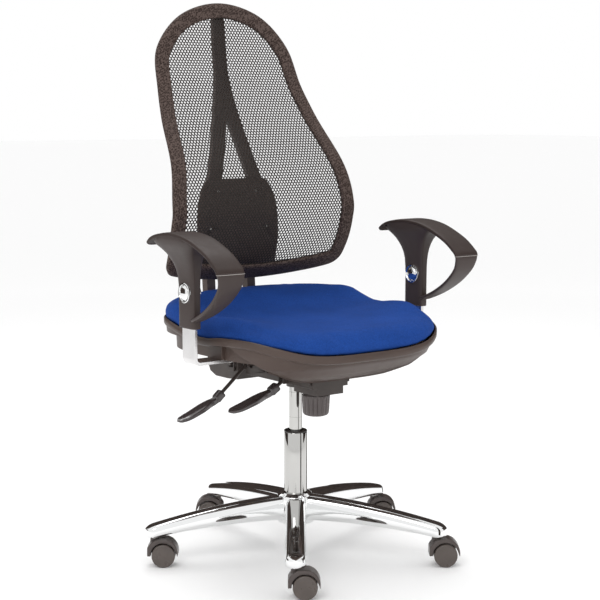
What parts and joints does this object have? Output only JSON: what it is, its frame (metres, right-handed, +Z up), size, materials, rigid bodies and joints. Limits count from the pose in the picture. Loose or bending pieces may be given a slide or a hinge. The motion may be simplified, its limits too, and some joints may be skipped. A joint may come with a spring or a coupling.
{
  "type": "swivel office chair",
  "caption": "Swivel office chair with a tall mesh back on an A-shaped spine, looped height-adjustable arms, synchro tilt mechanism, gas lift and a star base on twin-wheel casters.",
  "frame": {"origin": "on the floor under the middle of the column", "axes": "+Z up, the sitter faces -Y, +X is the sitter's left"},
  "size_m": [0.6917, 0.6613, 1.2003],
  "materials": {
    "chrome": "polished chrome plating",
    "steel": "bright zinc-plated steel",
    "mechanism_paint": "black powder coat",
    "black_plastic": "fine-grained black-brown moulding",
    "soft_pad": "soft-touch polyurethane",
    "gloss_plastic": "glossy black moulding",
    "caster_plastic": "dark grey nylon",
    "wheel_plastic": "dark grey nylon tread",
    "bush_plastic": "black acetal",
    "seat_fabric": "royal blue woven upholstery",
    "mesh_fabric": "black-brown knitted net",
    "plywood": "moulded beech plywood"
  },
  "bodies": {
    "base": {"star_base": "chrome", "caster_stems": "steel", "column_tube": "chrome", "guide_bush": "bush_plastic", "thrust_bearing": "steel"},
    "lift_rod": {"piston_rod": "steel", "column_clip": "steel"},
    "mechanism": {"gas_cylinder": "chrome", "mechanism_housing": "mechanism_paint", "pivot_axles": "steel", "tilt_spring": "steel", "tension_bolt": "steel"},
    "tension_knob": {"tension_knob": "black_plastic"},
    "height_lever": {"height_lever_rod": "mechanism_paint", "height_lever_paddle": "gloss_plastic"},
    "tilt_lever": {"tilt_lever_rod": "mechanism_paint", "tilt_lever_paddle": "gloss_plastic"},
    "release_pin": {"release_pin": "steel"},
    "seat": {"seat_panel": "plywood", "seat_shell": "black_plastic", "seat_cushion": "seat_fabric", "seat_carrier": "mechanism_paint", "seat_screws": "steel", "arm_bracket_left": "chrome", "arm_bracket_right": "chrome"},
    "back_bar": {"back_bar": "mechanism_paint"},
    "back": {"back_spine": "black_plastic", "back_rim": "mesh_fabric", "back_mesh": "mesh_fabric", "lumbar_plate": "black_plastic", "back_screws": "steel"},
    "arm_left": {"arm_frame_left": "black_plastic", "arm_pad_left": "soft_pad", "arm_bezels_left": "chrome"},
    "arm_button_left": {"arm_button_left": "chrome"},
    "arm_right": {"arm_frame_right": "black_plastic", "arm_pad_right": "soft_pad", "arm_bezels_right": "chrome"},
    "arm_button_right": {"arm_button_right": "chrome"},
    "caster_1": {"caster_fork_1": "caster_plastic", "caster_axle_1": "steel"},
    "caster_wheel_1_left": {"caster_wheel_1_left": "wheel_plastic"},
    "caster_wheel_1_right": {"caster_wheel_1_right": "wheel_plastic"},
    "caster_2": {"caster_fork_2": "caster_plastic", "caster_axle_2": "steel"},
    "caster_wheel_2_left": {"caster_wheel_2_left": "wheel_plastic"},
    "caster_wheel_2_right": {"caster_wheel_2_right": "wheel_plastic"},
    "caster_3": {"caster_fork_3": "caster_plastic", "caster_axle_3": "steel"},
    "caster_wheel_3_left": {"caster_wheel_3_left": "wheel_plastic"},
    "caster_wheel_3_right": {"caster_wheel_3_right": "wheel_plastic"},
    "caster_4": {"caster_fork_4": "caster_plastic", "caster_axle_4": "steel"},
    "caster_wheel_4_left": {"caster_wheel_4_left": "wheel_plastic"},
    "caster_wheel_4_right": {"caster_wheel_4_right": "wheel_plastic"},
    "caster_5": {"caster_fork_5": "caster_plastic", "caster_axle_5": "steel"},
    "caster_wheel_5_left": {"caster_wheel_5_left": "wheel_plastic"},
    "caster_wheel_5_right": {"caster_wheel_5_right": "wheel_plastic"}
  },
  "joints": [
    {"name": "seat_swivel", "type": "hinge", "parent": "base", "child": "lift_rod", "pos_m": [0, 0, 0.1], "axis": [0, 0, 1], "continuous": true},
    {"name": "seat_height", "type": "slide", "parent": "lift_rod", "child": "mechanism", "axis": [0, 0, 1], "range_m": [-0.085, 0.015]},
    {"name": "tension_turn", "type": "hinge", "parent": "mechanism", "child": "tension_knob", "pos_m": [0, -0.072, 0.34], "axis": [0, 0, 1], "range_deg": [-720, 720]},
    {"name": "height_lever_lift", "type": "hinge", "parent": "mechanism", "child": "height_lever", "pos_m": [-0.056, -0.03, 0.392], "axis": [0, 1, 0], "range_deg": [0, 5], "stiffness_Nm_per_rad": 4, "springref_deg": -5.73},
    {"name": "release_pin_press", "type": "slide", "parent": "mechanism", "child": "release_pin", "axis": [0, 0, -1], "range_m": [0, 0.0053]},
    {"name": "tilt_lever_turn", "type": "hinge", "parent": "mechanism", "child": "tilt_lever", "pos_m": [-0.056, 0.1, 0.412], "axis": [0, 1, 0], "range_deg": [0, 15]},
    {"name": "back_recline", "type": "hinge", "parent": "mechanism", "child": "back_bar", "pos_m": [0, 0.045, 0.405], "axis": [-1, 0, 0], "range_deg": [0, 18], "stiffness_Nm_per_rad": 60, "springref_deg": -20.05},
    {"name": "seat_tilt", "type": "hinge", "parent": "mechanism", "child": "seat", "pos_m": [0, -0.105, 0.405], "axis": [-1, 0, 0], "range_deg": [0, 7.5]},
    {"name": "back_height", "type": "slide", "parent": "back_bar", "child": "back", "axis": [0, 0.0698, 0.9976], "range_m": [0, 0.06]},
    {"name": "arm_height_left", "type": "slide", "parent": "seat", "child": "arm_left", "axis": [0, 0, 1], "range_m": [-0.03, 0.04]},
    {"name": "arm_button_press_left", "type": "slide", "parent": "arm_left", "child": "arm_button_left", "axis": [-1, 0, 0], "range_m": [0, 0.0025], "stiffness_N_per_m": 800, "springref_m": -0.002},
    {"name": "arm_height_right", "type": "slide", "parent": "seat", "child": "arm_right", "axis": [0, 0, 1], "range_m": [-0.03, 0.04]},
    {"name": "arm_button_press_right", "type": "slide", "parent": "arm_right", "child": "arm_button_right", "axis": [1, 0, 0], "range_m": [0, 0.0025], "stiffness_N_per_m": 800, "springref_m": -0.002},
    {"name": "caster_swivel_1", "type": "hinge", "parent": "base", "child": "caster_1", "pos_m": [-0.18957, -0.25157, 0.05], "axis": [0, 0, 1], "continuous": true},
    {"name": "wheel_roll_1_left", "type": "hinge", "parent": "caster_1", "child": "caster_wheel_1_left", "pos_m": [-0.1744, -0.263, 0.025], "axis": [0.6018, 0.7986, 0], "continuous": true},
    {"name": "wheel_roll_1_right", "type": "hinge", "parent": "caster_1", "child": "caster_wheel_1_right", "pos_m": [-0.1744, -0.263, 0.025], "axis": [0.6018, 0.7986, 0], "continuous": true},
    {"name": "caster_swivel_2", "type": "hinge", "parent": "base", "child": "caster_2", "pos_m": [-0.29784, 0.10255, 0.05], "axis": [0, 0, 1], "continuous": true},
    {"name": "wheel_roll_2_left", "type": "hinge", "parent": "caster_2", "child": "caster_wheel_2_left", "pos_m": [-0.28266, 0.09112, 0.025], "axis": [0.6018, 0.7986, 0], "continuous": true},
    {"name": "wheel_roll_2_right", "type": "hinge", "parent": "caster_2", "child": "caster_wheel_2_right", "pos_m": [-0.28266, 0.09112, 0.025], "axis": [0.6018, 0.7986, 0], "continuous": true},
    {"name": "caster_swivel_3", "type": "hinge", "parent": "base", "child": "caster_3", "pos_m": [0.0055, 0.31495, 0.05], "axis": [0, 0, 1], "continuous": true},
    {"name": "wheel_roll_3_left", "type": "hinge", "parent": "caster_3", "child": "caster_wheel_3_left", "pos_m": [-0.00968, 0.32639, 0.025], "axis": [-0.6018, -0.7986, 0], "continuous": true},
    {"name": "wheel_roll_3_right", "type": "hinge", "parent": "caster_3", "child": "caster_wheel_3_right", "pos_m": [-0.00968, 0.32639, 0.025], "axis": [-0.6018, -0.7986, 0], "continuous": true},
    {"name": "caster_swivel_4", "type": "hinge", "parent": "base", "child": "caster_4", "pos_m": [0.30124, 0.0921, 0.05], "axis": [0, 0, 1], "continuous": true},
    {"name": "wheel_roll_4_left", "type": "hinge", "parent": "caster_4", "child": "caster_wheel_4_left", "pos_m": [0.31641, 0.08066, 0.025], "axis": [0.6018, 0.7986, 0], "continuous": true},
    {"name": "wheel_roll_4_right", "type": "hinge", "parent": "caster_4", "child": "caster_wheel_4_right", "pos_m": [0.31641, 0.08066, 0.025], "axis": [0.6018, 0.7986, 0], "continuous": true},
    {"name": "caster_swivel_5", "type": "hinge", "parent": "base", "child": "caster_5", "pos_m": [0.18068, -0.25803, 0.05], "axis": [0, 0, 1], "continuous": true},
    {"name": "wheel_roll_5_left", "type": "hinge", "parent": "caster_5", "child": "caster_wheel_5_left", "pos_m": [0.19585, -0.26947, 0.025], "axis": [0.6018, 0.7986, 0], "continuous": true},
    {"name": "wheel_roll_5_right", "type": "hinge", "parent": "caster_5", "child": "caster_wheel_5_right", "pos_m": [0.19585, -0.26947, 0.025], "axis": [0.6018, 0.7986, 0], "continuous": true}
  ],
  "couplings": [
    {"joint": "release_pin_press", "follows": "height_lever_lift", "m_per_rad": 0.06},
    {"joint": "seat_tilt", "follows": "back_recline", "ratio": 0.4}
  ]
}
